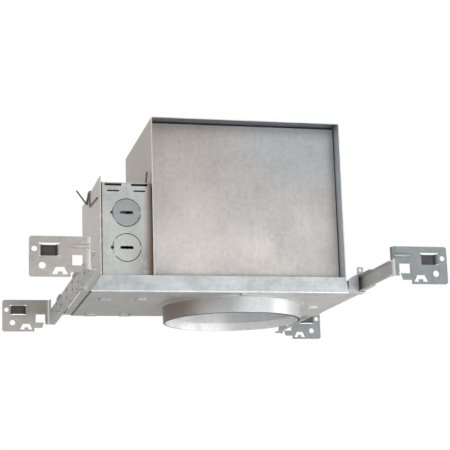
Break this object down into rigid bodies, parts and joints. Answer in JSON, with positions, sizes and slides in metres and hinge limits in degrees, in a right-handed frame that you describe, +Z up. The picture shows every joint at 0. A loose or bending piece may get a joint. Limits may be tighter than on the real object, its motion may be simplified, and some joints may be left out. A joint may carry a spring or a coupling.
{
  "type": "recessed light housing",
  "caption": "Recessed ceiling light housing: folded steel box on a flat pan with a round collar, a wiring box, a lamp can with height-adjustable socket, and telescoping hanger bars.",
  "frame": {"origin": "centre of the aperture at the lower rim of the collar", "axes": "+Z up into the ceiling; +X along the pan away from the wiring box; +Y from the front panel to the rear, along the hanger bars"},
  "size_m": [0.4283, 0.4664, 0.2083],
  "materials": {
    "galvanised_pan": "galvanised, low sheen",
    "galvanised_box": "galvanised, low sheen",
    "galvanised_panel": "galvanised, low sheen, faint vertical grain",
    "collar_steel": "galvanised, low sheen",
    "can_aluminium": "mill finish",
    "bracket_steel": "galvanised",
    "porcelain": "glazed off-white",
    "shell_brass": "plain",
    "screw_steel": "zinc plated",
    "protector_black": "matt black",
    "conduit_steel": "interlocked strip",
    "fitting_zinc": "die cast zinc",
    "galvanised_wiring": "galvanised, low sheen",
    "galvanised_cover": "galvanised, low sheen",
    "spring_wire": "spring steel",
    "ground_green": "green",
    "connector_plastic": "orange",
    "guide_steel": "galvanised",
    "hanger_steel": "galvanised"
  },
  "bodies": {
    "housing": {"mounting_pan": "galvanised_pan", "housing_wrapper": "galvanised_box", "front_panel": "galvanised_panel", "rear_panel": "galvanised_panel", "aperture_collar": "collar_steel", "lamp_can": "can_aluminium", "height_wing_nut": "screw_steel", "thermal_protector": "protector_black", "flex_conduit": "conduit_steel", "conduit_connector_box": "fitting_zinc", "conduit_connector_can": "fitting_zinc", "wiring_box_body": "galvanised_wiring", "wiring_box_front": "galvanised_wiring", "wiring_box_rear": "galvanised_wiring", "roof_spring": "spring_wire", "cable_clamps": "spring_wire", "ground_screw": "ground_green", "wire_connectors": "connector_plastic", "rail_guide_right_front": "guide_steel", "rail_guide_right_rear": "guide_steel", "rail_guide_left_front": "guide_steel", "rail_guide_left_rear": "guide_steel"},
    "socket": {"socket_bracket": "bracket_steel", "lampholder_body": "porcelain", "lampholder_shell": "shell_brass", "lampholder_contact": "shell_brass", "lampholder_screws": "screw_steel"},
    "wiring_cover": {"wiring_box_cover": "galvanised_cover", "cover_spring": "spring_wire"},
    "right_outer_bar": {"outer_rail_right": "hanger_steel"},
    "right_inner_bar": {"inner_rail_right": "hanger_steel"},
    "left_outer_bar": {"outer_rail_left": "hanger_steel"},
    "left_inner_bar": {"inner_rail_left": "hanger_steel"}
  },
  "joints": [
    {"name": "socket_slide", "type": "slide", "parent": "housing", "child": "socket", "axis": [0, 0, 1], "range_m": [-0.026, 0.007]},
    {"name": "cover_hinge", "type": "hinge", "parent": "housing", "child": "wiring_cover", "pos_m": [-0.16, 0, 0.0202], "axis": [0, -1, 0], "range_deg": [0, 28]},
    {"name": "right_outer_slide", "type": "slide", "parent": "housing", "child": "right_outer_bar", "axis": [0, 1, 0], "range_m": [-0.1, 0.018]},
    {"name": "right_inner_slide", "type": "slide", "parent": "right_outer_bar", "child": "right_inner_bar", "axis": [0, 1, 0], "range_m": [-0.166, 0.048]},
    {"name": "left_outer_slide", "type": "slide", "parent": "housing", "child": "left_outer_bar", "axis": [0, 1, 0], "range_m": [-0.06, 0.09]},
    {"name": "left_inner_slide", "type": "slide", "parent": "left_outer_bar", "child": "left_inner_bar", "axis": [0, 1, 0], "range_m": [0, 0.226]}
  ]
}
